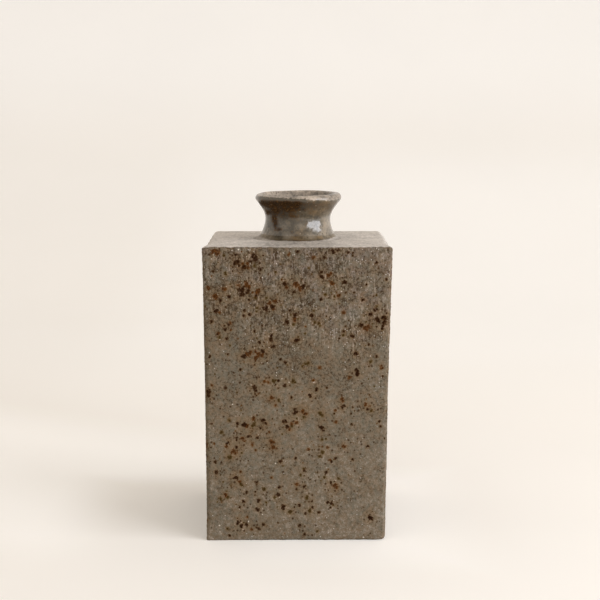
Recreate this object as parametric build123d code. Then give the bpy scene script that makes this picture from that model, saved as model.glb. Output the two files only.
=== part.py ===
from build123d import *
import os
from math import atan2, cos, degrees, radians, sin

# A square bottle vase of slab-built stoneware with a thrown neck, in millimetres.
# The origin is the middle of the underside, +Z is up and the front faces -Y.

# Body: square in plan and a little wider at the shoulder than at the foot
base_side = 83.8
shoulder_side = 86.8
body_height = 138.5
base_thickness = 7.0
wall_thickness = 6.5
shoulder_thickness = 6.5
arris_radius = 2.4
foot_edge_radius = 0.8

# Seam coils: ropes of clay pressed flat into the inside corners, sized along the slabs that they bind
corner_coil_leg = 6.0
base_coil_leg = 5.5
shoulder_coil_leg = 5.0

# Neck: heights are above the shoulder, radii are from the middle of the neck
neck_wall = 4.2
neck_foot_radius = 17.4
waist_height = 10.1
waist_radius = 15.4
lip_height = 19.7
lip_radius = 20.8
lip_roll_radius = 2.4
lip_tuck_angle = 40.0
mouth_angle = 30.0
foot_flare_angle = 18.0
bore_flare_angle = 16.0

# Neck seam coil: the ring that blends the neck's foot into the shoulder
neck_coil_width = 3.8
neck_coil_height = 2.6
neck_coil_edge = 0.5
neck_coil_hollow = 0.45

# Each wall leans outwards by this angle, in degrees
wall_lean = degrees(atan2((shoulder_side - base_side) / 2, body_height))
shoulder_underside = body_height - shoulder_thickness

# The neck's bore meets the shoulder's hole at the foot and is narrowest at the waist
neck_bore_radius = neck_foot_radius - neck_wall
throat_radius = waist_radius - neck_wall
neck_coil_radius = neck_foot_radius + neck_coil_width

# The four sides, with the turn about Z that brings the front round to each
SIDES = {"front": 0, "right": 90, "back": 180, "left": 270}


def side_at(height):
    """Outside width of the body at a height above the table."""
    return base_side + (shoulder_side - base_side) * height / body_height


def tapered_block(low, high, inset):
    """Square block between two heights, its sides leaning with the walls and set in from their outside."""
    side = side_at(low) - 2 * inset
    return extrude(Pos(0, 0, low) * Rectangle(side, side), high - low, taper=-wall_lean)


def lowest_edges(block):
    """Edges round the bottom face of a block."""
    return block.faces().sort_by(Axis.Z)[0].edges()


def highest_edges(block):
    """Edges round the top face of a block."""
    return block.faces().sort_by(Axis.Z)[-1].edges()


def upright_edges(block):
    """The four edges that run from the bottom face of a block to its top face."""
    return block.edges() - lowest_edges(block) - highest_edges(block)


def body_blank():
    """The outside of the body as one block with rounded edges."""
    block = tapered_block(0, body_height, 0)
    block = fillet(upright_edges(block) + highest_edges(block), arris_radius)
    return fillet(lowest_edges(block), min(foot_edge_radius, arris_radius))


def quarter(turn):
    """The space between two diagonals of the plan, which belongs to one side of the body."""
    reach = base_side + shoulder_side
    triangle = Polygon((0, 0), (-reach, -reach), (reach, -reach), align=None)
    return Rot(0, 0, turn) * extrude(triangle, body_height)


def slabs(cavity):
    """Base, walls and shoulder: the walls stand on the base, meet in mitres and carry the shoulder."""
    shell = body_blank() - cavity
    base_top = Plane.XY.offset(base_thickness)
    wall_top = Plane.XY.offset(shoulder_underside)
    above_base = split(shell, bisect_by=base_top, keep=Keep.TOP)
    walls = split(above_base, bisect_by=wall_top, keep=Keep.BOTTOM)
    hole = extrude(Circle(neck_bore_radius), body_height)
    pieces = {"base_slab": split(shell, bisect_by=base_top, keep=Keep.BOTTOM)}
    for side, turn in SIDES.items():
        pieces[f"{side}_wall_slab"] = walls & quarter(turn)
    pieces["shoulder_slab"] = split(above_base, bisect_by=wall_top, keep=Keep.TOP) - hole
    return pieces


def corner_name(coil):
    """Which upright corner a coil stands in."""
    middle = coil.center()
    depth = "front" if middle.Y < 0 else "back"
    hand = "left" if middle.X < 0 else "right"
    return f"{depth}_{hand}_corner_coil"


def seam_coils(cavity):
    """Coils in the upright corners, then runs along the base and under the shoulder between them."""
    cornered = chamfer(upright_edges(cavity), corner_coil_leg)
    base_ring = cornered - chamfer(lowest_edges(cavity), base_coil_leg)
    shoulder_ring = cornered - chamfer(highest_edges(cavity), shoulder_coil_leg)
    pieces = {corner_name(coil): coil for coil in (cavity - cornered).solids()}
    for side, turn in SIDES.items():
        pieces[f"{side}_base_coil"] = base_ring & quarter(turn)
        pieces[f"{side}_shoulder_coil"] = shoulder_ring & quarter(turn)
    return pieces


def turned(outline):
    """Solid of revolution that stands on the shoulder, from an outline of radius and height."""
    return Pos(0, 0, body_height) * revolve(make_face(Plane.XZ * outline), Axis.Z)


def heading(angle):
    """Direction in the outline at an angle from straight up, leaning outwards."""
    return (sin(radians(angle)), cos(radians(angle)))


def on_lip(angle):
    """Point on the round of the lip, at an angle up from the level that points outwards."""
    middle_radius = lip_radius - lip_roll_radius
    rise = lip_roll_radius * sin(radians(angle))
    return (middle_radius + lip_roll_radius * cos(radians(angle)), lip_height + rise)


def neck_collar():
    """Thrown collar: waisted outside and inside, with a rolled lip."""
    tuck = on_lip(-lip_tuck_angle)
    mouth = on_lip(180 - mouth_angle)
    outside = Spline(
        (neck_foot_radius, neck_coil_height),
        (waist_radius, waist_height),
        tuck,
        tangents=[heading(-foot_flare_angle), heading(0), heading(lip_tuck_angle)],
    )
    lip = ThreePointArc(tuck, on_lip(90), mouth)
    inside = Spline(
        mouth,
        (throat_radius, waist_height),
        (neck_bore_radius, 0),
        tangents=[heading(180 + mouth_angle), heading(180), heading(180 - bore_flare_angle)],
    )
    foot = Polyline((neck_bore_radius, 0), (neck_foot_radius, 0), (neck_foot_radius, neck_coil_height))
    return turned(outside + lip + inside + foot)


def neck_seam_coil():
    """Ring of clay smoothed hollow between the neck's foot and the shoulder."""
    top = (neck_foot_radius, neck_coil_height)
    rim = (neck_coil_radius, neck_coil_edge)
    hollow = SagittaArc(rim, top, neck_coil_hollow)
    under = Polyline(top, (neck_foot_radius, 0), (neck_coil_radius, 0), rim)
    return turned(hollow + under)


cavity = tapered_block(base_thickness, shoulder_underside, wall_thickness)
pieces = slabs(cavity) | seam_coils(cavity)
pieces["neck_collar"] = neck_collar()
pieces["neck_seam_coil"] = neck_seam_coil()

os.makedirs("parts", exist_ok=True)
for name, piece in pieces.items():
    export_step(piece, f"parts/{name}.step")
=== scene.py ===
from math import cos, pi, radians, sin, tau

import bmesh
import bpy
import numpy as np
from bpy.props import FloatProperty, FloatVectorProperty, IntProperty, PointerProperty
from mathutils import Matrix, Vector, kdtree


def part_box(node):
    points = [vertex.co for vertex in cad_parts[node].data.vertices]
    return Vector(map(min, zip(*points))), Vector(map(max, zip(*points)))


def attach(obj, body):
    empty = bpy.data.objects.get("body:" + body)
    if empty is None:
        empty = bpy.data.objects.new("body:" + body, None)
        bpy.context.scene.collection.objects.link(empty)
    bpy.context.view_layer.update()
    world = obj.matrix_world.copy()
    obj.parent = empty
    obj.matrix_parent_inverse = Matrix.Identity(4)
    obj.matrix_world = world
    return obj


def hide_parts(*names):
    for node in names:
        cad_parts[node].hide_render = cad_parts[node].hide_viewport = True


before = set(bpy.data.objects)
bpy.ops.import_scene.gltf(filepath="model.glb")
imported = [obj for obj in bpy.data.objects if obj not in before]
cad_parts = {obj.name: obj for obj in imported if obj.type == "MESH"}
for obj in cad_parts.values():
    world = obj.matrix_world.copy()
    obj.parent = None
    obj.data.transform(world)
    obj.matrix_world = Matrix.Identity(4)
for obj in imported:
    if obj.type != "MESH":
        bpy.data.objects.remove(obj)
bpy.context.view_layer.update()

bl_info = {
    "name": "Square Bottle Vase",
    "version": (1, 0, 0),
    "blender": (4, 5, 0),
    "location": "View3D > Sidebar > Vase",
    "description": "Dresses the slab-built bottle vase: grogged walls, smoothed shoulder, glazed neck",
    "category": "Add Mesh",
}

MM = 0.001
BODY = "root"

# Heights and widths that the solids give, and the rounding of their edges
BASE_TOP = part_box("base_slab")[1].z
WALL_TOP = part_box("front_wall_slab")[1].z
BODY_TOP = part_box("shoulder_slab")[1].z
COIL_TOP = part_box("neck_seam_coil")[1].z
NECK_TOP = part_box("neck_collar")[1].z
LIP_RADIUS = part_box("neck_collar")[1].x
COIL_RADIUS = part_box("neck_seam_coil")[1].x
BASE_SIDE = 2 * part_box("base_slab")[1].x
SHOULDER_SIDE = 2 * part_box("shoulder_slab")[1].x
ARRIS_RADIUS = 2.4 * MM

# The walls lean out: the base's box is widest at its top, the shoulder's where its rounded edge starts
FLARE = (SHOULDER_SIDE - BASE_SIDE) / (BODY_TOP - ARRIS_RADIUS - BASE_TOP)
HALF = (SHOULDER_SIDE + FLARE * ARRIS_RADIUS) / 2
WALL = BASE_SIDE / 2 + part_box("front_wall_slab")[1].y

# The four sides, with the turn about Z in degrees that brings the front round to each
SIDES = {"front": 0, "right": 90, "back": 180, "left": 270}

# The photograph's frame: pixels along a side, and the sensor's width in millimetres that goes with the lens
PICTURE = 600
SENSOR = 36

# Spots of the front in that frame: pixel across, pixel down and radius in pixels. Black ones are burnt
# through, rusty ones are red to orange, olive ones lie just under the surface, white ones are bare grog
BLACK_SPOT_PIXELS = (
    (253, 256, 2.6), (254, 259, 1.8), (250, 261, 1.2), (236, 262, 2.4), (243, 267, 1.8), (259, 269, 1.6),
    (235, 254, 1.1), (241, 289, 3.0), (241, 294, 2.0), (247, 291, 1.6), (297, 251, 1.2), (228, 297, 1.6),
    (220, 300, 1.2), (216, 310, 1.8), (284, 283, 1.4), (293, 291, 1.6), (303, 287, 2.2), (265, 308, 2.2),
    (272, 306, 2.0), (294, 314, 1.7), (244, 310, 1.1), (332, 251, 1.8), (338, 250, 1.4), (348, 252, 1.1),
    (324, 257, 1.2), (376, 262, 1.2), (386, 279, 1.1), (321, 272, 1.2), (322, 276, 1.6), (344, 282, 1.4),
    (362, 298, 1.6), (366, 284, 1.0), (321, 299, 1.3), (311, 315, 1.4), (375, 309, 1.4), (370, 314, 1.4),
    (378, 319, 2.8), (384, 317, 2.4), (384, 322, 2.0), (382, 327, 1.6), (211, 321, 1.3), (228, 324, 1.3),
    (225, 329, 1.5), (226, 338, 1.1), (254, 331, 1.1), (271, 335, 1.3), (271, 339, 1.4), (259, 342, 1.3),
    (273, 346, 1.3), (286, 322, 1.4), (296, 340, 1.7), (262, 351, 1.5), (243, 356, 2.0), (209, 356, 1.4),
    (240, 369, 1.1), (280, 359, 1.2), (285, 362, 1.1), (254, 387, 1.9), (255, 390, 1.2), (284, 385, 1.4),
    (208, 391, 2.8), (208, 395, 2.2), (361, 325, 1.4), (343, 331, 1.1), (352, 336, 1.4), (355, 353, 1.6),
    (356, 370, 1.6), (357, 374, 1.4), (376, 356, 1.1), (316, 389, 1.6), (309, 396, 1.6), (294, 409, 1.4),
    (295, 412, 1.9), (244, 424, 1.9), (263, 420, 1.7), (265, 423, 1.2), (260, 428, 1.2), (237, 423, 1.3),
    (284, 421, 1.7), (287, 426, 1.6), (321, 427, 1.5), (323, 430, 1.3), (343, 406, 1.5), (367, 409, 1.1),
    (379, 421, 1.1), (380, 426, 1.0), (227, 443, 1.7), (236, 447, 1.3), (257, 437, 1.1), (248, 436, 1.2),
    (367, 446, 1.2), (335, 458, 1.1), (331, 461, 1.0), (352, 459, 1.1), (295, 458, 1.1), (215, 462, 1.2),
    (280, 461, 1.3), (351, 424, 1.0), (216, 472, 1.4), (235, 478, 2.3), (256, 482, 1.3), (246, 492, 1.2),
    (279, 487, 1.2), (278, 494, 1.6), (304, 470, 1.3), (326, 472, 1.2), (243, 501, 1.3), (258, 500, 1.4),
    (257, 509, 1.7), (239, 507, 1.0), (283, 507, 1.6), (299, 505, 1.3), (304, 486, 1.3), (312, 507, 1.1),
    (327, 502, 1.2), (331, 503, 1.2), (237, 522, 1.4), (241, 525, 1.5), (246, 524, 1.3), (263, 524, 1.3),
    (256, 527, 1.0), (299, 525, 1.3), (229, 535, 1.1), (304, 534, 1.2), (370, 517, 2.2), (318, 512, 1.2),
)
RUSTY_SPOT_PIXELS = (
    (213, 251, 1.8), (216, 252, 2.0), (247, 263, 1.2), (242, 263, 1.1), (248, 267, 1.1), (313, 257, 1.2),
    (288, 254, 1.1), (246, 284, 1.4), (248, 287, 1.6), (238, 285, 1.2), (256, 291, 1.9), (258, 290, 1.4),
    (286, 287, 1.3), (297, 285, 3.0), (300, 288, 2.2), (295, 283, 1.7), (208, 288, 1.5), (224, 288, 1.4),
    (215, 296, 1.9), (219, 312, 1.2), (269, 302, 1.8), (274, 301, 1.6), (273, 308, 1.3), (294, 318, 1.3),
    (328, 275, 1.3), (331, 283, 1.9), (338, 295, 1.4), (343, 312, 1.3), (218, 333, 1.2), (247, 353, 2.2),
    (250, 352, 1.5), (258, 355, 2.2), (255, 358, 1.5), (262, 355, 1.5), (255, 351, 1.2), (294, 320, 1.3),
    (366, 328, 2.1), (368, 326, 1.3), (381, 367, 1.5), (349, 377, 1.3), (319, 367, 1.2), (313, 380, 1.1),
    (264, 381, 1.2), (268, 382, 1.1), (211, 385, 1.0), (272, 398, 1.7), (275, 405, 1.1), (253, 418, 1.7),
    (247, 426, 1.5), (291, 424, 1.3), (289, 429, 1.1), (296, 422, 1.2), (303, 411, 1.5), (305, 414, 1.4),
    (342, 400, 1.7), (335, 410, 1.0), (365, 404, 1.4), (369, 406, 1.0), (242, 439, 1.8), (244, 441, 1.1),
    (252, 444, 1.3), (226, 446, 1.2), (233, 451, 1.8), (235, 453, 1.2), (271, 442, 1.8), (273, 447, 1.7),
    (343, 446, 1.5), (327, 447, 1.2), (308, 449, 1.2), (271, 477, 1.1), (239, 481, 1.1), (225, 495, 1.5),
    (334, 484, 1.9), (336, 487, 1.2), (296, 484, 1.2),
)
OLIVE_SPOT_PIXELS = (
    (254, 265, 1.2), (225, 273, 1.3), (275, 272, 1.0), (266, 298, 1.1), (325, 294, 1.0), (219, 337, 1.2),
    (293, 324, 1.2), (319, 324, 1.4), (314, 322, 1.2), (306, 363, 1.7), (302, 366, 1.1), (370, 361, 1.3),
    (273, 381, 1.6), (275, 380, 1.0), (293, 381, 1.6), (253, 424, 1.8), (221, 432, 1.3), (229, 457, 1.6),
    (303, 417, 1.1), (320, 413, 1.8), (322, 415, 1.1), (371, 410, 1.3), (322, 452, 1.3), (319, 456, 1.1),
    (241, 484, 1.5), (263, 488, 1.7), (220, 498, 1.2), (227, 497, 1.3), (274, 497, 1.2), (290, 511, 1.5),
    (307, 497, 1.5), (309, 510, 1.4), (324, 477, 1.1), (227, 528, 1.1), (338, 478, 1.0),
)
WHITE_GRAIN_PIXELS = (
    (219, 525, 1.3), (248, 521, 1.2), (275, 463, 1.2), (363, 537, 1.3), (238, 249, 1.4), (262, 514, 1.0),
    (279, 497, 0.9), (353, 390, 1.0), (313, 382, 0.9), (341, 291, 1.1), (276, 263, 1.0), (262, 277, 1.1),
    (214, 368, 1.0), (232, 404, 1.1), (287, 330, 1.0), (361, 287, 0.9), (328, 347, 0.9), (320, 536, 0.9),
)

# How the kinds of spot are told apart on the mesh
BLACK, RUSTY, OLIVE = 0.0, 0.5, 1.0

# Soft patches of the neck's glaze in that frame: pixel across, pixel down, half width, half height, strength.
# Dark ones are rich in iron, and carry painted shade too: more of it on the left, away from the window, and
# a thin painted shade line where the neck meets the shoulder. Ochre ones are poor in iron. Tan ones are where
# the glaze is thin, and on the right flank, by the window, they are partly painted light
DARK_GLAZE_PIXELS = (
    (262, 203, 6, 4, 1.0), (272, 204, 9, 5, 1.0), (285, 203, 10, 4.5, 1.0), (296, 203, 7, 3.5, 1.0),
    (268, 212, 3.5, 3.5, 0.9), (276, 210, 8, 3.5, 0.85), (288, 209, 8, 3.5, 0.75), (298, 208, 5, 3.5, 0.6),
    (296, 206, 2, 1.6, 1.0), (303, 209, 2, 1.4, 0.8), (273, 217, 4, 5, 0.7), (283, 215, 7, 4, 0.55),
    (275, 224, 3.2, 6, 0.85), (279, 229, 2.4, 2, 0.8), (293, 216, 6, 4, 0.45), (308, 205, 8, 4, 0.42),
    (320, 205, 8, 4, 0.32), (329, 207, 4, 5, 0.36), (311, 212, 5, 3, 0.25), (291, 232, 2.4, 2.4, 0.55),
    (296, 235, 3, 1.5, 0.5), (281, 236, 6, 2, 0.35), (300, 221, 2.4, 2, 0.35), (306, 222, 3, 4, 0.25),
    (318, 216, 3, 2, 0.3), (278, 240, 14, 1.2, 0.4), (305, 240, 14, 1.1, 0.3),
)
OCHRE_GLAZE_PIXELS = (
    (294, 237, 6, 2.5, 0.4), (306, 237, 6, 2.5, 0.25), (319, 237, 4, 2, 0.5), (314, 212, 6, 3, 0.45),
    (323, 209, 5, 4, 0.3), (331, 237, 3, 1.5, 0.4), (300, 232, 6, 4, 0.4), (325, 203, 6, 3, 0.4),
)
TAN_GLAZE_PIXELS = (
    (327, 226, 6, 12, 1.0), (322, 233, 6, 5, 0.6), (264, 235, 8, 6, 0.9), (335, 237, 6, 4, 0.8),
    (300, 226, 4, 4, 0.45), (284, 225, 4, 4, 0.35), (314, 225, 6, 6, 0.35), (287, 236, 6, 3, 0.85),
    (309, 236, 7, 3, 0.8),
)


def length_setting(name, description, default):
    """A length in metres."""
    return FloatProperty(name=name, description=description, default=default, unit="LENGTH")


def share_setting(name, description, default):
    """A share from 0 to 1."""
    return FloatProperty(name=name, description=description, default=default, subtype="FACTOR")


def angle_setting(name, description, degrees):
    """An angle, given in degrees."""
    return FloatProperty(name=name, description=description, default=radians(degrees), subtype="ANGLE")


def colour_setting(name, description, default):
    """A colour in linear light."""
    return FloatVectorProperty(name=name, description=description, default=default, subtype="COLOR")


class VaseClay(bpy.types.PropertyGroup):
    """Shape and finish of the slab-built body."""

    grid_step: length_setting("Grid step", "Spacing of the surface's mesh", 0.4 * MM)
    foot_radius: length_setting("Foot edge", "Rounding of the lowest edge", 1.3 * MM)
    front_radius: length_setting("Front edge", "Rounding where the front meets the top", 1.5 * MM)
    side_radius: length_setting("Side edges", "Rounding where the other sides meet the top", 2.4 * MM)
    edge_wear: length_setting("Edge wear", "How far the top's side edges are worn near the front", 1.0 * MM)
    edge_wobble: share_setting("Edge wobble", "How unevenly the edges are rounded", 0.2)
    wall_hollow: length_setting("Wall hollow", "How far the walls fall in at mid height", 0.22 * MM)
    lean: length_setting("Lean", "How far the top stands to the right of the foot", 0.6 * MM)
    warp: length_setting("Warp", "Slow unevenness of the slabs", 0.2 * MM)
    grog_size: length_setting("Grog size", "Spacing of the coarse grains", 1.25 * MM)
    grog_height: length_setting("Grog height", "How far the coarse grains stand out", 0.17 * MM)
    drag_depth: length_setting("Drag depth", "Depth of the scraper's upright drag marks", 0.05 * MM)
    smoothing: share_setting("Smoothing", "How much of the roughness is ribbed off the top", 0.85)
    spot_count: IntProperty(name="Spots", description="Small iron spots strewn over each side", default=270)
    warm_colour: colour_setting("Warm clay", "Browner clay", (0.166, 0.131, 0.092))
    grey_colour: colour_setting("Grey clay", "Greyer clay", (0.157, 0.133, 0.1))
    grain_colour: colour_setting("Pale grain", "Pale grog grains", (0.64, 0.605, 0.56))
    iron_colour: colour_setting("Iron", "Heart of the black spots", (0.012, 0.0035, 0.001))
    burnt_colour: colour_setting("Burnt", "Rims of the black spots", (0.07, 0.03, 0.0085))
    rust_colour: colour_setting("Rust", "Rusty spots", (0.125, 0.047, 0.01))
    olive_colour: colour_setting("Olive", "Olive spots", (0.094, 0.058, 0.013))
    # The smoothed top's pale colour: partly the paler finish of the ribbed top, partly painted sheen
    pale_sheen_colour: colour_setting("Smoothed clay", "Top, pale where it was ribbed smooth", (0.635, 0.595, 0.55))


class VaseNeck(bpy.types.PropertyGroup):
    """Shape and finish of the thrown neck. Heights are above the shoulder."""

    wall: length_setting("Wall", "Thickness of the neck", 4.2 * MM)
    foot_radius: length_setting("Foot", "Radius where it stands on the shoulder", 17.7 * MM)
    waist_radius: length_setting("Waist", "Radius of the waist", 15.1 * MM)
    waist_height: length_setting("Waist height", "Height of the waist", 10.1 * MM)
    lip_height: length_setting("Lip height", "Height of the middle of the lip's roll", 19.7 * MM)
    thin_roll: length_setting("Thin lip", "Radius of the rolled lip at the left", 1.65 * MM)
    thick_roll: length_setting("Thick lip", "Radius of the rolled lip at the right", 2.3 * MM)
    tilt: FloatProperty(name="Tilt", description="Sideways lean of the neck", default=0.018)
    ring_height: length_setting("Throwing rings", "Height of the throwing rings", 0.008 * MM)
    glaze_colour: colour_setting("Glaze", "Olive-grey glaze", (0.076, 0.06, 0.037))
    iron_colour: colour_setting("Iron band", "Dark glaze under the lip", (0.04, 0.0185, 0.0045))
    ochre_colour: colour_setting("Ochre", "Glaze poor in iron", (0.165, 0.1, 0.04))
    tan_colour: colour_setting("Tan", "Glaze where it runs thin", (0.25, 0.212, 0.16))
    lip_colour: colour_setting("Lip", "Pale glaze that broke over the lip", (0.34, 0.288, 0.233))


class VaseStage(bpy.types.PropertyGroup):
    """Camera, paper and light. A lift is brightness of the paper that only the camera and reflections see."""

    camera_place: FloatVectorProperty(name="Camera", description="Where the camera stands",
                                      default=(1.7 * MM, -628.7 * MM, 195.3 * MM), subtype="TRANSLATION")
    camera_pitch: angle_setting("Pitch", "How far the camera looks down", 7.89)
    lens: FloatProperty(name="Lens", description="Focal length in millimetres", default=77.7)
    floor_colour: colour_setting("Floor", "Cream paper sweep", (0.875, 0.845, 0.8))
    backdrop_lift: colour_setting("Backdrop lift", "Lift of the flat paper", (0.127, 0.134, 0.135))
    far_lift: colour_setting("Far lift", "Lift where the paper has curved up", (0.2, 0.22, 0.238))
    glow_lift: colour_setting("Glow", "Lift behind the vase", (0.19, 0.208, 0.222))
    shade_lift: colour_setting("Shade lift", "Lift where shade fades out", (0.23, 0.24, 0.245))
    room_colour: colour_setting("Room", "What is seen beyond the paper", (0.9, 0.84, 0.765))
    sky_colour: colour_setting("Room light", "Soft light from all round", (1.0, 0.905, 0.805))
    horizon_strength: FloatProperty(name="Horizon", description="Level of the soft light from the sides",
                                    default=0.36)
    zenith_strength: FloatProperty(name="Overhead", description="Level of the soft light from straight above",
                                   default=0.9)
    window_azimuth: angle_setting("Window side", "Window's turn to the right of the camera", 61)
    window_rise: angle_setting("Window rise", "Window's height above the shoulder, as an angle", 12.5)
    window_distance: length_setting("Window distance", "From the neck to the window", 1.2)
    window_power: FloatProperty(name="Window power", description="Power of the window", default=13.8,
                                unit="POWER")
    window_colour: colour_setting("Daylight", "Colour of the window's light", (0.89, 0.915, 0.98))


# Repeatable noise on points in metres

TILT = np.array([[0.77, 0.49, 0.41], [-0.6, 0.76, 0.24], [-0.19, -0.43, 0.88]])
HASH = np.array([73856093, 19349663, 83492791], dtype=np.int64)
LOW_BITS = 0xFFFFFFFF

# A seed for each noise, and one for the draws of the iron spots. Where those crowd, the seed is drawn too
EDGE_SEED, GROG_SEED, FINE_SEED, LUMP_SEED, DRAG_SEED = 40, 50, 60, 70, 80
ROUGH_SEED, WARP_SEED, WEAR_SEED, RAGGED_SEED = 90, 100, 105, 110
RING_SEED, SWELL_SEED, RIPPLE_SEED, COIL_SEED, SLIP_SEED = 120, 130, 135, 140, 150
SPOT_SEED = 7


def smooth_step(low, high, value):
    """Smooth ramp from 0 at low to 1 at high."""
    t = np.clip((value - low) / (high - low), 0, 1)
    return t * t * (3 - 2 * t)


def cell_values(cells, seed):
    """Repeatable random number from 0 to 1 for each whole-number cell."""
    h = np.bitwise_xor.reduce(cells * HASH, axis=-1) ^ (seed * 2654435761)
    h = ((h & LOW_BITS) ^ ((h & LOW_BITS) >> 15)) * 1274126177 & LOW_BITS
    h = (h ^ (h >> 13)) * 1103515245 & LOW_BITS
    return (h ^ (h >> 16)) / LOW_BITS


def smooth_noise(points, size, seed):
    """Smooth noise from -1 to 1 with lumps about one size across. Size may differ along the axes."""
    place = points / size
    cell = np.floor(place).astype(np.int64)
    t = place - cell
    t = t * t * (3 - 2 * t)
    total = np.zeros(len(points))
    for corner in np.ndindex(2, 2, 2):
        weight = np.prod(np.where(corner, t, 1 - t), axis=1)
        total += weight * cell_values(cell + np.array(corner), seed)
    return 2 * total - 1


def grains(points, size, seed):
    """Distance to the nearest grain's middle, in grain sizes, and that grain's own random number."""
    place = points / size
    cell = np.floor(place - 0.5).astype(np.int64)
    nearest = np.full(len(points), np.inf)
    own = np.zeros(len(points))
    for corner in np.ndindex(2, 2, 2):
        here = cell + np.array(corner)
        jitter = np.stack([cell_values(here, seed + axis) for axis in (1, 2, 3)], axis=1)
        distance = np.linalg.norm(here + 0.2 + 0.6 * jitter - place, axis=1)
        closer = distance < nearest
        nearest = np.where(closer, distance, nearest)
        own = np.where(closer, cell_values(here, seed), own)
    return nearest, own


# The body's worked surface. Each point of a sharp-edged box goes to one place, whichever piece asks,
# so neighbouring slabs meet without a gap

# Lumps along the edges, the slabs' slow warp, and where the clay gets rough, with how far that limit wanders
EDGE_LUMP_HEIGHT, EDGE_LUMP_SIZE = 0.16 * MM, 3.2 * MM
WARP_SIZE = 38 * MM
ROUGH_FROM, ROUGH_FULL = 60 * MM, 136 * MM
ROUGH_WANDER, ROUGH_WANDER_SIZE = 18 * MM, 22 * MM


def side_at(height):
    """Outside width of the body at a height."""
    return BASE_SIDE + FLARE * (height - BASE_TOP)


def leaned(points, amount):
    """Points pushed sideways in step with their height."""
    moved = points.copy()
    moved[:, 0] += amount * (points[:, 2] / BODY_TOP - 0.3)
    return moved


def edge_radius(sharp, clay):
    """Uneven rounding of the edges: small at the foot and the front's top, wide by the front corners."""
    raised = smooth_step(0, 12 * MM, sharp[:, 2])
    topmost = smooth_step(BODY_TOP - 8 * MM, BODY_TOP - 2 * MM, sharp[:, 2])
    behind = sharp[:, 1] + HALF
    fronted = smooth_step(17 * MM, 2 * MM, behind)
    cornered = smooth_step(0, 12 * MM, behind) * smooth_step(36 * MM, 14 * MM, behind)
    foot = clay.foot_radius * (1 + 0.6 * sharp[:, 0] / HALF)
    top = clay.side_radius * (1 + 0.5 * cornered)
    top += (clay.front_radius - top) * fronted
    radius = foot + (ARRIS_RADIUS - foot) * raised
    radius += (top - radius) * topmost
    return radius * (1 + clay.edge_wobble * smooth_noise(sharp @ TILT, 9 * MM, EDGE_SEED))


def rounded(sharp, radius):
    """Points of the sharp box brought onto its rounded edges, and the way out of the surface at each."""
    inset = radius[:, None]
    core = np.clip(sharp, np.array([-HALF, -HALF, 0]) + inset, np.array([HALF, HALF, BODY_TOP]) - inset)
    out = sharp - core
    out /= np.linalg.norm(out, axis=1, keepdims=True)
    return core + out * inset, out


def roughness_at(place):
    """Where the clay is roughest: the upper part, most of all to the right, with a wandering limit."""
    wander = ROUGH_WANDER * smooth_noise(place @ TILT, ROUGH_WANDER_SIZE, ROUGH_SEED)
    return smooth_step(ROUGH_FROM, ROUGH_FULL, place[:, 2] + wander + 0.25 * place[:, 0])


def grog_relief(place, rough, clay):
    """Coarse grains, torn pits and faint upright drag marks, as a height in metres."""
    tilted = place @ TILT
    distance, own = grains(tilted, clay.grog_size, GROG_SEED)
    dome = np.clip(1 - (distance / 0.5) ** 2, 0, 1)
    proud = smooth_step(0.55, 1, own) * dome
    torn = smooth_step(0.35, 0, own) * dome
    fine = smooth_noise(tilted, 0.6 * clay.grog_size, FINE_SEED)
    lumps = smooth_noise(tilted, 2.4 * clay.grog_size, LUMP_SEED)
    drag = smooth_noise(place, np.array([1.6, 1.6, 7]) * MM, DRAG_SEED)
    grit = clay.grog_height * (proud - 1.3 * torn + 0.35 * fine + 0.35 * lumps)
    return grit * (0.7 + 0.8 * rough) - clay.drag_depth * rough * smooth_step(0.1, 0.7, drag)


def skin(sharp, clay):
    """Worked surface at points of the sharp box: places, and the fields that go with them."""
    place, out = rounded(sharp, edge_radius(sharp, clay))
    upright = 1 - np.abs(out[:, 2])
    ragged = 0.1 * smooth_noise(place @ TILT, 1.3 * MM, RAGGED_SEED)
    # Where the top was ribbed smooth: the upper faces and the side edges. The material paints these pale,
    # partly as painted sheen
    smoothed = smooth_step(0.8, 0.97, out[:, 2] + 0.4 * np.abs(out[:, 0]) + ragged)
    rough = roughness_at(place)
    relief = grog_relief(place, rough, clay) * (1 - clay.smoothing * smoothed)
    slow = clay.warp * smooth_noise(place @ TILT, WARP_SIZE, WARP_SEED)
    edged = 4 * np.prod(np.sort(np.abs(out), axis=1)[:, 1:], axis=1)
    lumps = smooth_noise(place @ TILT, EDGE_LUMP_SIZE, WEAR_SEED)
    slow += EDGE_LUMP_HEIGHT * np.clip(edged, 0, 1) * lumps
    hollow = clay.wall_hollow * np.sin(pi * np.clip(place[:, 2] / BODY_TOP, 0, 1)) * upright
    place[:, :2] *= (side_at(place[:, 2]) / (2 * HALF))[:, None]
    place += out * (relief + slow - hollow)[:, None]
    behind = sharp[:, 1] + HALF
    worn = smooth_step(13 * MM, 25 * MM, behind) * smooth_step(85 * MM, 26 * MM, behind)
    worn *= 1 - 0.75 * smooth_step(-10 * MM, 10 * MM, sharp[:, 0])
    topmost = smooth_step(WALL_TOP, BODY_TOP, sharp[:, 2])
    worn *= smooth_step(HALF - 10 * MM, HALF - 1 * MM, np.abs(sharp[:, 0])) * topmost
    place[:, 2] -= clay.edge_wear * worn
    place[:, 2] = np.clip(place[:, 2], 0, None)
    fields = {"relief": relief / clay.grog_height, "smoothed": smoothed, "rough": rough}
    return leaned(place, clay.lean), fields


# Gathering a closed mesh patch by patch

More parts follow.
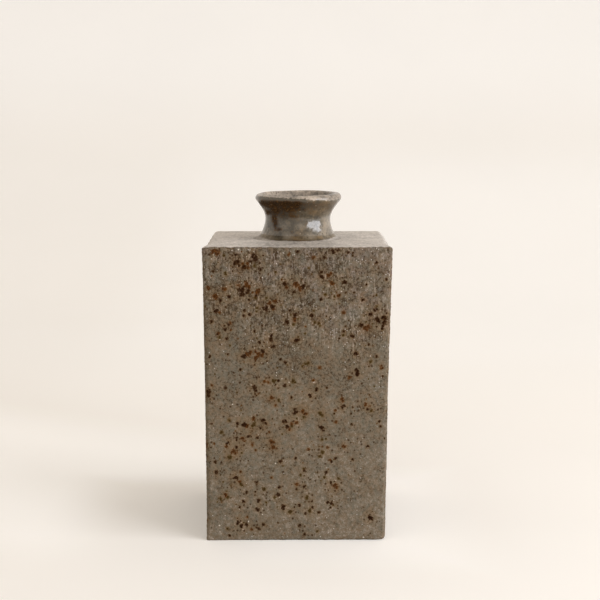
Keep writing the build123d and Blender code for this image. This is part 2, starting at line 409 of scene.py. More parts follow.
class Surface:
    """Points, faces and a flat map for baking, gathered patch by patch."""

    def __init__(self):
        self.points, self.faces, self.flat = [], [], []
        self.count = 0

    def add(self, points):
        """Adds an array of points and returns their numbers in the same layout."""
        flat = np.asarray(points, float).reshape(-1, 3)
        numbers = np.arange(self.count, self.count + len(flat)).reshape(np.shape(points)[:-1])
        self.points.append(flat)
        self.count += len(flat)
        return numbers

    def grid(self, numbers, area, closed=False):
        """Four-sided faces over rows and columns of points, laid in one area of the flat map."""
        if closed:
            numbers = np.concatenate([numbers, numbers[:, :1]], axis=1)
        rows, columns = numbers.shape
        left, low, right, high = area
        across = np.linspace(left, right, columns)
        up = np.linspace(low, high, rows)
        corners = ((0, 0), (0, 1), (1, 1), (1, 0))
        span = [(slice(i, rows - 1 + i), slice(j, columns - 1 + j)) for i, j in corners]
        quads = np.stack([numbers[s] for s in span], axis=-1).reshape(-1, 4)
        where = np.stack(np.meshgrid(across, up), axis=-1)
        places = np.stack([where[s] for s in span], axis=2).reshape(-1, 4, 2)
        self.faces += quads.tolist()
        self.flat.append(places.reshape(-1, 2))

    def stitch(self, first, second, area):
        """Three-sided faces between two lines of points that may differ in number."""
        left, low, right, high = area
        along_first = np.linspace(0, 1, len(first))
        along_second = np.linspace(0, 1, len(second))
        i = j = 0
        places = []
        while i < len(first) - 1 or j < len(second) - 1:
            step_first = j == len(second) - 1 or (
                i < len(first) - 1 and along_first[i + 1] <= along_second[j + 1])
            corners = [(along_first[i], low), (along_second[j], high)]
            if step_first:
                self.faces.append([int(first[i]), int(second[j]), int(first[i + 1])])
                corners.append((along_first[i + 1], low))
                i += 1
            else:
                self.faces.append([int(first[i]), int(second[j]), int(second[j + 1])])
                corners.append((along_second[j + 1], high))
                j += 1
            places += [(left + (right - left) * u, v) for u, v in corners]
        self.flat.append(np.array(places))

    def piece(self, name, material, fields):
        """Makes the object, with its faces turned outwards and its fields kept on the points."""
        mesh = bpy.data.meshes.new(name)
        mesh.from_pydata(np.concatenate(self.points).tolist(), [], self.faces)
        layer = mesh.uv_layers.new(name="OFBake")
        layer.data.foreach_set("uv", np.concatenate(self.flat).ravel())
        for field, values in fields.items():
            mesh.attributes.new(field, "FLOAT", "POINT").data.foreach_set("value", values)
        work = bmesh.new()
        work.from_mesh(mesh)
        bmesh.ops.recalc_face_normals(work, faces=work.faces)
        work.to_mesh(mesh)
        work.free()
        mesh.shade_smooth()
        mesh.set_sharp_from_angle(angle=radians(60))
        mesh.materials.append(material)
        made = bpy.data.objects.new(name, mesh)
        bpy.context.collection.objects.link(made)
        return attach(made, BODY)


def stand_for(piece, node):
    """The piece replaces its solid, which is hidden."""
    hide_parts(node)


def turned(points, degrees):
    """Points turned about Z."""
    c, s = round(cos(radians(degrees))), round(sin(radians(degrees)))
    return points @ np.array([[c, s, 0], [-s, c, 0], [0, 0, 1]])


def columns_across(clay):
    """Places across one side, from its left edge to its right."""
    return np.linspace(-HALF, HALF, round(2 * HALF / clay.grid_step) + 1)


def perimeter(clay, height):
    """Closed line of points round the sharp box at a height."""
    across = columns_across(clay)[:-1]
    line = np.stack([across, np.full_like(across, -HALF), np.full_like(across, height)], axis=1)
    return np.concatenate([turned(line, turn) for turn in SIDES.values()])


# Iron spots

# Radii of the smallest scattered spot, of the largest one, and of the largest that isn't broken into crumbs
SMALLEST_SPOT = 0.3 * MM
LARGEST_SPOT = 1.35 * MM
WHOLE_SPOT = 0.62 * MM

# How far small spots are strewn round larger ones, and how far a spot warms the clay about it
STREWN_REACH = 5.5 * MM
HAZE_REACH = 6 * MM


def on_front(pixels, clay, stage):
    """Spots of the photograph where the camera's rays meet the front: points of the sharp box, and radii."""
    x, y, size = np.array(pixels, float).T
    focus = PICTURE * stage.lens / SENSOR
    c, s = cos(stage.camera_pitch), sin(stage.camera_pitch)
    across, up = (x + 0.5 - PICTURE / 2) / focus, (PICTURE / 2 - y - 0.5) / focus
    ray = np.stack([across, c + up * s, up * c - s], axis=1)
    start = np.array(stage.camera_place)
    reach = (-side_at(start[2]) / 2 - start[1]) / (ray[:, 1] + FLARE * ray[:, 2] / 2)
    place = start + reach[:, None] * ray
    place[:, 2] = np.clip(place[:, 2], 0, BODY_TOP)
    place = leaned(place, -clay.lean)
    place[:, 0] *= 2 * HALF / side_at(place[:, 2])
    place[:, 1] = -HALF
    return np.concatenate([place, (size * reach / focus)[:, None]], axis=1)


def scattered(rng, count):
    """Spots strewn in loose clusters over one side, as if it were the front."""
    tries = rng.random((6 * count, 4))
    across, up = (2 * tries[:, 0] - 1) * HALF, tries[:, 1] * BODY_TOP
    places = np.stack([across, np.full(len(tries), -HALF), up], axis=1)
    crowd = smooth_step(-0.25, 0.65, smooth_noise(places @ TILT, 17 * MM, int(rng.integers(1000))))
    kept = tries[:, 2] < 0.14 + 0.86 * crowd
    size = SMALLEST_SPOT + (LARGEST_SPOT - SMALLEST_SPOT) * tries[:, 3] ** 4
    return np.concatenate([places, size[:, None]], axis=1)[kept][:count]


def strewn(rng, spots, count):
    """Small spots strewn round larger ones."""
    near = spots[rng.integers(len(spots), size=count)]
    near[:, (0, 2)] += rng.normal(0, STREWN_REACH, (count, 2))
    near[:, 3] = 0.25 * MM + 0.3 * MM * rng.random(count) ** 3
    return near


def crumbled(rng, spots):
    """Larger spots broken into crumbs, so that their outlines are ragged."""
    bits = [spots[spots[:, 3] <= WHOLE_SPOT]]
    for x, y, z, size in spots[spots[:, 3] > WHOLE_SPOT]:
        count = 2 + round(2.2 * (size / (0.6 * MM)) ** 2)
        turn, reach, share = rng.random((3, count))
        shift = size * np.sqrt(reach)
        across, up = shift * np.cos(tau * turn), shift * np.sin(tau * turn)
        radius = 0.24 * MM + 0.34 * MM * share + 0.12 * (size - shift)
        bits.append(np.stack([x + across, np.full(count, y), z + up, radius], axis=1))
    return np.concatenate(bits)


def of_kind(spots, kind):
    """Spots with their kind in a fifth column."""
    return np.concatenate([spots, np.broadcast_to(kind, (len(spots),))[:, None]], axis=1)


def any_kind(rng, spots):
    """Spots with kinds drawn at random."""
    return of_kind(spots, rng.choice([BLACK, RUSTY, OLIVE], len(spots), p=[0.55, 0.15, 0.3]))


def iron_spots(clay, stage):
    """Every iron spot of the body on the sharp box: place, radius and kind."""
    rng = np.random.default_rng(SPOT_SEED)
    chosen = {BLACK: BLACK_SPOT_PIXELS, RUSTY: RUSTY_SPOT_PIXELS, OLIVE: OLIVE_SPOT_PIXELS}
    spots = []
    for side, turn in SIDES.items():
        if side == "front":
            large = {kind: on_front(pixels, clay, stage) for kind, pixels in chosen.items()}
        else:
            large = {kind: scattered(rng, len(pixels)) for kind, pixels in chosen.items()}
        here = [of_kind(crumbled(rng, places), kind) for kind, places in large.items()]
        here.append(any_kind(rng, strewn(rng, np.concatenate(list(large.values())), clay.spot_count)))
        here = np.concatenate(here)
        here[:, :3] = turned(here[:, :3], turn)
        spots.append(here)
    return np.concatenate(spots)


def spot_fields(sharp, spots):
    """For each point, how near it lies to a spot's heart, that spot's kind, and how much iron is about."""
    tree = kdtree.KDTree(len(sharp))
    for number, point in enumerate(sharp):
        tree.insert(point, number)
    tree.balance()
    low, high = sharp.min(0) - HAZE_REACH, sharp.max(0) + HAZE_REACH
    near, kinds, haze = np.zeros((3, len(sharp)))
    for x, y, z, size, kind in spots[((spots[:, :3] > low) & (spots[:, :3] < high)).all(axis=1)]:
        found = tree.find_range((x, y, z), HAZE_REACH)
        numbers = np.array([number for _, number, _ in found], int)
        distance = np.array([away for _, _, away in found])
        haze[numbers] += (size / MM) ** 2 * (1 - (distance / HAZE_REACH) ** 2) ** 2
        share = 1 - distance / (3 * size)
        closer = share > near[numbers]
        near[numbers[closer]], kinds[numbers[closer]] = share[closer], kind
    return {"iron": near, "kind": kinds, "haze": 1 - np.exp(-haze)}


def body_fields(sharp, worked, scene):
    """The fields that the clay's material reads."""
    clay, stage = scene.vase_clay, scene.vase_stage
    bare = spot_fields(sharp, of_kind(on_front(WHITE_GRAIN_PIXELS, clay, stage), BLACK))
    return worked | spot_fields(sharp, iron_spots(clay, stage)) | {"grain": bare["iron"]}


def padded(fields, count):
    """Fields filled up with zeros for the points that are out of sight."""
    return {name: np.pad(values, (0, count - len(values))) for name, values in fields.items()}


# Shader nodes

class Nodes:
    """Short calls that add shader nodes to one tree."""

    def __init__(self, tree):
        self.tree = tree

    def put(self, kind, **settings):
        """Adds a node and sets its own settings."""
        node = self.tree.nodes.new(kind)
        for name, value in settings.items():
            setattr(node, name, value)
        return node

    def feed(self, socket, value):
        """Links a socket, or sets its value."""
        if isinstance(value, bpy.types.NodeSocket):
            self.tree.links.new(value, socket)
        else:
            socket.default_value = (*value, 1) if socket.type == "RGBA" and len(value) == 3 else value

    def maths(self, operation, first, second=0.0, clamp=False):
        """Arithmetic on two values."""
        node = self.put("ShaderNodeMath", operation=operation, use_clamp=clamp)
        self.feed(node.inputs[0], first)
        self.feed(node.inputs[1], second)
        return node.outputs[0]

    def plus(self, first, second, clamp=False):
        """Sum of two values."""
        return self.maths("ADD", first, second, clamp)

    def minus(self, first, second):
        """Difference of two values."""
        return self.maths("SUBTRACT", first, second)

    def times(self, first, second):
        """Product of two values."""
        return self.maths("MULTIPLY", first, second)

    def larger(self, first, second):
        """The larger of two values."""
        return self.maths("MAXIMUM", first, second)

    def split(self, vector):
        """The X, Y and Z of a vector."""
        node = self.put("ShaderNodeSeparateXYZ")
        self.feed(node.inputs[0], vector)
        return node.outputs

    def stretched(self, vector, factors):
        """Coordinates multiplied along each axis."""
        node = self.put("ShaderNodeVectorMath", operation="MULTIPLY")
        self.feed(node.inputs[0], vector)
        self.feed(node.inputs[1], factors)
        return node.outputs[0]

    def noise(self, vector, scale, detail=2.0, roughness=0.5):
        """Cloudy noise around a half."""
        node = self.put("ShaderNodeTexNoise")
        self.feed(node.inputs["Vector"], vector)
        for name, value in (("Scale", scale), ("Detail", detail), ("Roughness", roughness)):
            self.feed(node.inputs[name], value)
        return node.outputs[0]

    def cells(self, vector, scale):
        """Distance to the nearest cell's middle, and that cell's random red, green and blue."""
        node = self.put("ShaderNodeTexVoronoi")
        self.feed(node.inputs["Vector"], vector)
        self.feed(node.inputs["Scale"], scale)
        colour = self.put("ShaderNodeSeparateColor")
        self.feed(colour.inputs[0], node.outputs["Color"])
        return node.outputs["Distance"], *colour.outputs

    def ramp(self, value, low, high, to_low=0.0, to_high=1.0):
        """Smooth ramp of a value between two limits."""
        node = self.put("ShaderNodeMapRange", interpolation_type="SMOOTHSTEP")
        for name, number in (("Value", value), ("From Min", low), ("From Max", high),
                             ("To Min", to_low), ("To Max", to_high)):
            self.feed(node.inputs[name], number)
        return node.outputs[0]

    def mix(self, factor, first, second, blend="MIX"):
        """Mix of two colours."""
        node = self.put("ShaderNodeMix", data_type="RGBA", blend_type=blend)
        self.feed(node.inputs[0], factor)
        self.feed(node.inputs[6], first)
        self.feed(node.inputs[7], second)
        return node.outputs[2]

    def tinted(self, first, second):
        """Product of two colours."""
        return self.mix(1.0, first, second, "MULTIPLY")

    def field(self, name):
        """A value kept on the mesh's points."""
        return self.put("ShaderNodeAttribute", attribute_name=name).outputs["Fac"]

    def place(self):
        """Object coordinates in millimetres."""
        return self.stretched(self.put("ShaderNodeTexCoord").outputs["Object"], (1 / MM,) * 3)

    def group(self, tree, **inputs):
        """Places a node group and feeds its inputs by name."""
        node = self.put("ShaderNodeGroup", node_tree=tree)
        for name, value in inputs.items():
            self.feed(node.inputs[name.replace("_", " ")], value)
        return node.outputs


SOCKET_KINDS = {"value": "NodeSocketFloat", "colour": "NodeSocketColor", "vector": "NodeSocketVector"}


def new_group(name, inputs, outputs):
    """An empty node group with named sockets: its nodes, its input sockets and its output node."""
    tree = bpy.data.node_groups.new(name, "ShaderNodeTree")
    for socket, kind in inputs.items():
        tree.interface.new_socket(name=socket, in_out="INPUT", socket_type=SOCKET_KINDS[kind])
    for socket, kind in outputs.items():
        tree.interface.new_socket(name=socket, in_out="OUTPUT", socket_type=SOCKET_KINDS[kind])
    nodes = Nodes(tree)
    return nodes, nodes.put("NodeGroupInput").outputs, nodes.put("NodeGroupOutput").inputs


def grogged_clay_group():
    """Colour and fine height of coarse clay, without its iron."""
    name = "Grogged Clay"
    if name in bpy.data.node_groups:
        return bpy.data.node_groups[name]
    nodes, given, result = new_group(
        name,
        {"Place": "vector", "Relief": "value", "Rough": "value", "Warm": "colour", "Grey": "colour",
         "Grain": "colour"},
        {"Color": "colour", "Height": "value"})
    place, rough = given["Place"], given["Rough"]
    broad = nodes.ramp(nodes.noise(place, 0.11, 3), 0.35, 0.65)
    colour = nodes.mix(broad, given["Warm"], given["Grey"])
    hue = nodes.ramp(nodes.noise(place, 0.5, 2), 0.3, 0.7)
    colour = nodes.tinted(colour, nodes.mix(hue, (1.07, 0.985, 0.9), (0.95, 1.01, 1.02)))
    grit = nodes.noise(place, 0.75, 2, 0.6)
    fine = nodes.noise(place, 1.8, 3, 0.7)
    level = nodes.plus(nodes.ramp(grit, 0.25, 0.75, -0.4, 0.4), nodes.ramp(fine, 0.25, 0.75, -0.46, 0.46))
    streak = nodes.noise(nodes.stretched(place, (1, 1, 0.16)), 0.9, 3, 0.6)
    streak = nodes.times(nodes.ramp(streak, 0.3, 0.7, -0.2, 0.2), nodes.ramp(rough, 0.1, 0.7))
    level = nodes.plus(nodes.times(level, nodes.ramp(rough, 0.0, 1.0, 1.0, 1.02)), streak)
    level = nodes.plus(level, nodes.ramp(nodes.noise(place, 0.2, 2), 0.3, 0.7, -0.14, 0.14))
    level = nodes.plus(level, nodes.ramp(nodes.noise(place, 0.06, 2), 0.3, 0.7, -0.12, 0.12))
    # Painted shade in the hollows of the relief and painted light on its raised grains
    level = nodes.plus(level, nodes.times(given["Relief"], 0.3))
    # Lighter towards the bottom and darker towards the top: painted light that offsets the shade of the floor
    # near the foot
    level = nodes.plus(level, nodes.ramp(nodes.split(place)["Z"], 0.0, 139.0, 0.1, -0.3))
    colour = nodes.mix(nodes.ramp(level, 0.0, -1.0), colour, (0.052, 0.034, 0.019))
    colour = nodes.mix(nodes.ramp(level, 0.0, 1.15), colour, (0.31, 0.263, 0.212))
    bent = nodes.put("ShaderNodeVectorMath", operation="ADD")
    nodes.feed(bent.inputs[0], place)
    nodes.feed(bent.inputs[1], nodes.times(nodes.noise(place, 0.35, 1), 2.5))
    comb = nodes.ramp(nodes.noise(nodes.stretched(bent.outputs[0], (1, 1, 0.14)), 1.5, 2, 0.5), 0.52, 0.66)
    comb = nodes.times(comb, nodes.ramp(nodes.noise(place, 0.16, 2), 0.38, 0.58))
    comb = nodes.times(comb, nodes.ramp(rough, 0.15, 0.8, 0.0, 0.5))
    colour = nodes.mix(comb, colour, (0.4, 0.345, 0.285))
    # Painted light: a faint cool tint in patches over the rough upper part, as the bluish window light gives
    cool_light_tint = nodes.times(nodes.ramp(nodes.noise(place, 0.12, 2), 0.48, 0.62), nodes.ramp(rough, 0.5, 1.0))
    colour = nodes.mix(cool_light_tint, colour, nodes.tinted(colour, (0.995, 0.985, 1.045)))
    distance, _, other, _ = nodes.cells(place, 1.0)
    dark = nodes.times(nodes.ramp(distance, 0.36, 0.12), nodes.ramp(other, 0.8, 0.95))
    dark = nodes.times(dark, nodes.ramp(rough, 0.0, 1.0, 0.6, 0.5))
    colour = nodes.mix(dark, colour, nodes.tinted(colour, (0.4, 0.29, 0.18)))
    near, chance, tone, _ = nodes.cells(place, 1.2)
    share = nodes.ramp(rough, 0.0, 1.0, 0.97, 0.8)
    pale = nodes.times(nodes.ramp(near, 0.4, 0.12), nodes.maths("GREATER_THAN", chance, share))
    pale = nodes.times(pale, nodes.ramp(tone, 0.0, 1.0, 0.15, 0.85))
    colour = nodes.mix(pale, colour, given["Grain"])
    nodes.feed(result["Color"], colour)
    height = nodes.plus(nodes.plus(grit, nodes.times(fine, 0.6)), pale)
    nodes.feed(result["Height"], nodes.minus(height, dark))
    return nodes.tree


def iron_group():
    """Masks of the iron: burnt hearts, rims and the warm halo round them."""
    name = "Iron Spots"
    if name in bpy.data.node_groups:
        return bpy.data.node_groups[name]
    nodes, given, result = new_group(
        name,
        {"Place": "vector", "Iron": "value", "Haze": "value"},
        {"Heart": "value", "Rim": "value", "Halo": "value"})
    place = given["Place"]
    ragged = nodes.minus(nodes.noise(place, 1.1, 3, 0.7), 0.5)
    depth = nodes.plus(given["Iron"], nodes.times(ragged, 1.3))
    distance, own, other, _ = nodes.cells(place, 0.66)
    reach = nodes.ramp(own, 0.2, 1.0, 0.1, 0.4)
    crowd = nodes.ramp(given["Haze"], 0.1, 0.9, 0.12, 0.7)
    speck = nodes.ramp(nodes.minus(reach, distance), -0.08, 0.16)
    speck = nodes.times(speck, nodes.maths("LESS_THAN", other, crowd))
    crumb = nodes.ramp(nodes.noise(place, 1.9, 2), 0.36, 0.6, 0.6, 1.0)
    heart = nodes.times(nodes.ramp(depth, 0.44, 0.8), crumb)
    nodes.feed(result["Heart"], nodes.larger(heart, nodes.times(speck, 0.5)))
    nodes.feed(result["Rim"], nodes.larger(nodes.ramp(depth, 0.3, 0.78), nodes.times(speck, 0.65)))
    halo = nodes.plus(nodes.ramp(given["Iron"], 0.02, 0.5), nodes.ramp(given["Haze"], 0.2, 1.0), True)
    nodes.feed(result["Halo"], halo)
    return nodes.tree


def glaze_group():
    """Colour, roughness and height of the neck's glaze."""
    name = "Olive Glaze"
    if name in bpy.data.node_groups:
        return bpy.data.node_groups[name]
    nodes, given, result = new_group(
        name,
        {"Place": "vector", "Band": "value", "Ochre": "value", "Thin": "value", "Lip": "value",
         "Glaze": "colour", "Iron": "colour", "Earth": "colour", "Tan": "colour", "Pale": "colour"},
        {"Color": "colour", "Roughness": "value", "Gloss": "value", "Height": "value"})
    place = given["Place"]
    cloud = nodes.minus(nodes.noise(place, 0.17, 3, 0.6), 0.5)
    mottle = nodes.minus(nodes.noise(place, 0.45, 3, 0.65), 0.5)
    crumbs = nodes.minus(nodes.noise(place, 1.3, 3, 0.7), 0.5)
    uneven = nodes.plus(cloud, mottle)
    shift = nodes.times(uneven, 0.5)
    colour = nodes.mix(nodes.plus(given["Thin"], shift, True), given["Glaze"], given["Tan"])
    colour = nodes.mix(nodes.plus(given["Ochre"], shift, True), colour, given["Earth"])
    soft = nodes.plus(nodes.times(mottle, 1.7), cloud)
    tone = nodes.plus(soft, nodes.times(crumbs, 0.9))
    colour = nodes.tinted(colour, nodes.larger(nodes.plus(tone, 1.0), 0.25))
    ragged = nodes.plus(uneven, nodes.times(crumbs, 1.6))
    band = nodes.plus(given["Band"], nodes.times(ragged, 0.9), True)
    crust = nodes.plus(nodes.times(crumbs, 4.0), nodes.plus(nodes.times(uneven, 2.0), 1.0))
    crust = nodes.tinted(given["Iron"], nodes.larger(crust, 0.3))
    crust = nodes.mix(nodes.ramp(crumbs, 0.03, 0.16, 0.0, 0.45), crust, given["Earth"])
    colour = nodes.mix(nodes.ramp(band, 0.1, 0.8), colour, crust)
    lip = nodes.ramp(nodes.plus(given["Lip"], nodes.times(ragged, 0.8)), 0.3, 0.7)
    level = nodes.plus(nodes.plus(nodes.times(soft, 0.4), tone), 1.0)
    # Painted shade: the pale lip darker towards the right, where the window lights it
    level = nodes.times(level, nodes.ramp(nodes.split(place)["X"], 2.0, 18.0, 1.0, 0.75))
    pale = nodes.tinted(given["Pale"], nodes.larger(level, 0.3))
    colour = nodes.mix(lip, colour, pale)
    distance, own, other, _ = nodes.cells(place, 0.7)
    speck = nodes.times(nodes.ramp(distance, 0.36, 0.14), nodes.ramp(own, 0.68, 0.8))
    colour = nodes.mix(nodes.times(speck, 0.75), colour, given["Iron"])
    fleck = nodes.times(nodes.ramp(distance, 0.26, 0.1), nodes.ramp(other, 0.94, 0.96))
    colour = nodes.mix(nodes.times(fleck, 0.6), colour, given["Pale"])
    nodes.feed(result["Color"], colour)
    nodes.feed(result["Roughness"], nodes.ramp(band, 0.1, 0.7, 0.3, 0.6))
    nodes.feed(result["Gloss"], nodes.ramp(nodes.plus(band, nodes.times(lip, 0.6)), 0.3, 0.9, 0.86, 0.06))
    nodes.feed(result["Height"], nodes.plus(nodes.times(mottle, 1.4), crumbs))
    return nodes.tree


def plain_material(name):
    """A new material with its nodes and its Principled shader."""
    material = bpy.data.materials.new(name)
    material.use_nodes = True
    return material, Nodes(material.node_tree), material.node_tree.nodes["Principled BSDF"]


def add_bump(nodes, shader, height, strength, distance):
    """Fine relief from a height."""
    bump = nodes.put("ShaderNodeBump")
    nodes.feed(bump.inputs["Strength"], strength)
    nodes.feed(bump.inputs["Distance"], distance)
    nodes.feed(bump.inputs["Height"], height)
    nodes.feed(shader.inputs["Normal"], bump.outputs[0])


def clay_colour(nodes, place, clay):
    """Colour, height and iron of the clay where it is left rough."""
    body = nodes.group(grogged_clay_group(), Place=place, Relief=nodes.field("relief"),
                       Rough=nodes.field("rough"), Warm=clay.warm_colour, Grey=clay.grey_colour,
                       Grain=clay.grain_colour)
    iron = nodes.group(iron_group(), Place=place, Iron=nodes.field("iron"), Haze=nodes.field("haze"))
    kind = nodes.field("kind")
    warmed = nodes.tinted(body["Color"], (1.0, 0.84, 0.64))
    colour = nodes.mix(nodes.times(iron["Halo"], 0.5), body["Color"], warmed)
    rust = nodes.ramp(nodes.noise(place, 1.4, 2), 0.38, 0.65, 0.7, 1.5)
    rust = nodes.tinted(clay.rust_colour, rust)
    rim = nodes.mix(nodes.ramp(kind, 0.05, 0.45), clay.burnt_colour, rust)
    rim = nodes.mix(nodes.ramp(kind, 0.55, 0.95), rim, clay.olive_colour)
    colour = nodes.mix(nodes.times(iron["Rim"], 0.92), colour, rim)
    burnt = nodes.times(iron["Heart"], nodes.ramp(kind, 0.05, 0.45, 1.0, 0.72))
    colour = nodes.mix(burnt, colour, clay.iron_colour)
    grain = nodes.ramp(nodes.field("grain"), 0.68, 0.92)
    return nodes.mix(grain, colour, (0.68, 0.62, 0.54)), body["Height"]


def glaze_colours(nodes, place, neck):
    """The glaze group, fed with the neck's fields and colours."""
    return nodes.group(glaze_group(), Place=place, Band=nodes.field("band"), Ochre=nodes.field("ochre"),
                       Thin=nodes.field("thin"), Lip=nodes.field("lip"), Glaze=neck.glaze_colour,
                       Iron=neck.iron_colour, Earth=neck.ochre_colour, Tan=neck.tan_colour,
                       Pale=neck.lip_colour)


def rough_clay_material(name, clay):
    """Dry grogged clay with iron spots."""
    if name in bpy.data.materials:
        return bpy.data.materials[name]
    material, nodes, shader = plain_material(name)
    colour, height = clay_colour(nodes, nodes.place(), clay)
    nodes.feed(shader.inputs["Base Color"], colour)
    nodes.feed(shader.inputs["Roughness"], 0.85)
    nodes.feed(shader.inputs["Specular IOR Level"], 0.02)
    add_bump(nodes, shader, height, 0.6, 0.16 * MM)
    return material


def smooth_clay_material(name, clay, neck):
    """The same clay ribbed smooth and pale, the pale partly painted sheen, with glaze where it ran down over
    it, and darker in front of the neck with painted reflection and shade of the neck.
    """
    if name in bpy.data.materials:
        return bpy.data.materials[name]
    material, nodes, shader = plain_material(name)
    place = nodes.place()
    rough, height = clay_colour(nodes, place, clay)
    smoothed, glazed = nodes.field("smoothed"), nodes.field("glazed")
    brushed = nodes.noise(nodes.stretched(place, (1, 0.6, 1)), 0.6, 4, 0.65)
    dusty = nodes.noise(place, 0.1, 3, 0.6)
    fine = nodes.noise(place, 1.1, 3, 0.65)
    level = nodes.plus(nodes.ramp(brushed, 0.3, 0.7, 0.85, 1.1), nodes.ramp(dusty, 0.35, 0.65, -0.1, 0.1))
    level = nodes.plus(level, nodes.ramp(fine, 0.25, 0.75, -0.26, 0.26))
    patched = nodes.noise(nodes.stretched(place, (1, 0.25, 1)), 0.5, 3, 0.7)
    x, y, _ = nodes.split(place)
    # Painted reflection and shade of the neck on the top in front of it: darker and more patchy there
    neck_reflection_shade = nodes.ramp(nodes.maths("ABSOLUTE", x), 24.0, 10.0)
    neck_reflection_shade = nodes.times(neck_reflection_shade, nodes.ramp(y, -16.0, -27.0))
    level = nodes.times(level, nodes.ramp(neck_reflection_shade, 0.0, 1.0, 1.0, 0.74))
    patched = nodes.ramp(patched, 0.35, 0.65, -0.16, 0.16)
    level = nodes.plus(level, nodes.times(patched, nodes.ramp(neck_reflection_shade, 0.0, 1.0, 0.25, 1.0)))
    # Pale where the top was ribbed smooth: partly the smoothed finish, partly painted sheen
    pale = nodes.tinted(clay.pale_sheen_colour, level)
    colour = nodes.mix(nodes.times(smoothed, 0.9), rough, pale)
    glaze = glaze_colours(nodes, place, neck)
    ragged = nodes.times(nodes.minus(nodes.noise(place, 0.6, 3), 0.5), 0.7)
    covered = nodes.ramp(nodes.plus(glazed, ragged), 0.15, 0.85)
    nodes.feed(shader.inputs["Base Color"], nodes.mix(covered, colour, glaze["Color"]))
    dry = nodes.ramp(smoothed, 0.0, 1.0, 0.85, 0.5)
    wet = nodes.minus(dry, nodes.times(covered, 0.3))
    nodes.feed(shader.inputs["Roughness"], wet)
    nodes.feed(shader.inputs["Specular IOR Level"], 0.06)
    bare = nodes.ramp(smoothed, 0.0, 1.0, 1.0, 0.2)
    add_bump(nodes, shader, nodes.times(height, bare), 0.5, 0.14 * MM)
    return material


def glaze_material(name, neck):
    """Glossy olive glaze: dark under the lip, thin and tan at the foot, pale where it broke on the lip."""
    material, nodes, shader = plain_material(name)
    place = nodes.place()
    glaze = glaze_colours(nodes, place, neck)
    shade = nodes.tinted(glaze["Color"], (0.355, 0.38, 0.395))
    nodes.feed(shader.inputs["Base Color"], nodes.mix(nodes.field("inside"), glaze["Color"], shade))
    nodes.feed(shader.inputs["Roughness"], glaze["Roughness"])
    nodes.feed(shader.inputs["Specular IOR Level"], 0.04)
    nodes.feed(shader.inputs["Coat Weight"], glaze["Gloss"])
    nodes.feed(shader.inputs["Coat Roughness"], 0.12)
    nodes.feed(shader.inputs["Coat IOR"], 1.7)
    add_bump(nodes, shader, glaze["Height"], 0.4, 0.2 * MM)
    return material


# The neck's outline

NECK_COLUMNS = 288

# Throwing rings, slow swellings and fine ripples of the neck's outside
RING_SPACING = 2.3 * MM
SWELL_HEIGHT, SWELL_SIZE = 0.03 * MM, 5 * MM
RIPPLE_HEIGHT, RIPPLE_SIZE = 0.036 * MM, 1.2 * MM


def curve(start, end, start_way, end_way, count):
    """Smooth run between two points that leaves and arrives along given directions."""
    t = np.linspace(0, 1, count)[:, None]
    start, end, leave, arrive = (np.array(v, float) for v in (start, end, start_way, end_way))
    length = np.linalg.norm(end - start)
    return ((2 * t**3 - 3 * t**2 + 1) * start + (t**3 - 2 * t**2 + t) * length * leave
            + (3 * t**2 - 2 * t**3) * end + (t**3 - t**2) * length * arrive)


def heading(degrees):
    """Direction at an angle from straight up, leaning outwards."""
    return (sin(radians(degrees)), cos(radians(degrees)))


def neck_outline(neck, roll):
    """Radius and height from the foot over the lip and down the bore, for one radius of the lip's roll."""
    middle = np.array([LIP_RADIUS - roll, neck.lip_height])
    waist, throat = neck.waist_radius, neck.waist_radius - neck.wall
    foot, bore = neck.foot_radius, neck.foot_radius - neck.wall
    turns = [radians(degrees) for degrees in np.linspace(-40, 150, 34)]
    lip = np.array([middle + roll * np.array([cos(turn), sin(turn)]) for turn in turns])
    rise = neck.waist_height
    return eased(np.concatenate([
        curve((foot, COIL_TOP - BODY_TOP), (waist, rise), heading(-24), heading(0), 24)[:-1],
        curve((waist, rise), lip[0], heading(0), heading(40), 32)[:-1],
        lip[:-1],
        curve(lip[-1], (throat, rise), heading(210), heading(180), 34)[:-1],
        curve((throat, rise), (bore, 0), heading(180), heading(164), 24),
    ]), 1, 50)


def eased(outline, first, last):
    """Outline with the bends between two of its rows evened out."""
    outline = outline.copy()
    for _ in range(200):
        middle = outline[first:last]
        outline[first:last] = middle / 2 + (outline[first - 1:last - 1] + outline[first + 1:last + 1]) / 4
    return outline


def spun(outline, angles):
    """Rows of points round the neck's middle from an outline for each angle."""
    radius, height = outline[..., 0], outline[..., 1]
    return np.stack([radius * np.cos(angles), radius * np.sin(angles), BODY_TOP + height], axis=-1)


def tilted_neck(points, clay, neck):
    """The neck's points with the body's lean and the neck's own tilt."""
    moved = leaned(points.reshape(-1, 3), clay.lean)
    moved[:, 0] += neck.tilt * (moved[:, 2] - BODY_TOP)
    return moved.reshape(points.shape)


def photo_pixels(points, stage):
    """Where points of the front half show in the photograph's frame. The back half takes its mirror image."""
    away = points - np.array(stage.camera_place)
    away[:, 1] = -np.abs(points[:, 1]) - stage.camera_place[1]
    c, s = cos(stage.camera_pitch), sin(stage.camera_pitch)
    scale = PICTURE * stage.lens / SENSOR / (away[:, 1] * c - away[:, 2] * s)
    return PICTURE / 2 + scale * away[:, 0], PICTURE / 2 - scale * (away[:, 1] * s + away[:, 2] * c)


def patches(across, down, marks):
    """Soft patches laid over one another, as a share from 0 to 1."""
    bare = np.ones(len(across))
    for x, y, wide, high, strength in marks:
        distance = ((across - x - 0.5) / wide) ** 2 + ((down - y - 0.5) / high) ** 2
        bare *= 1 - strength * np.exp(-distance)
    return 1 - bare


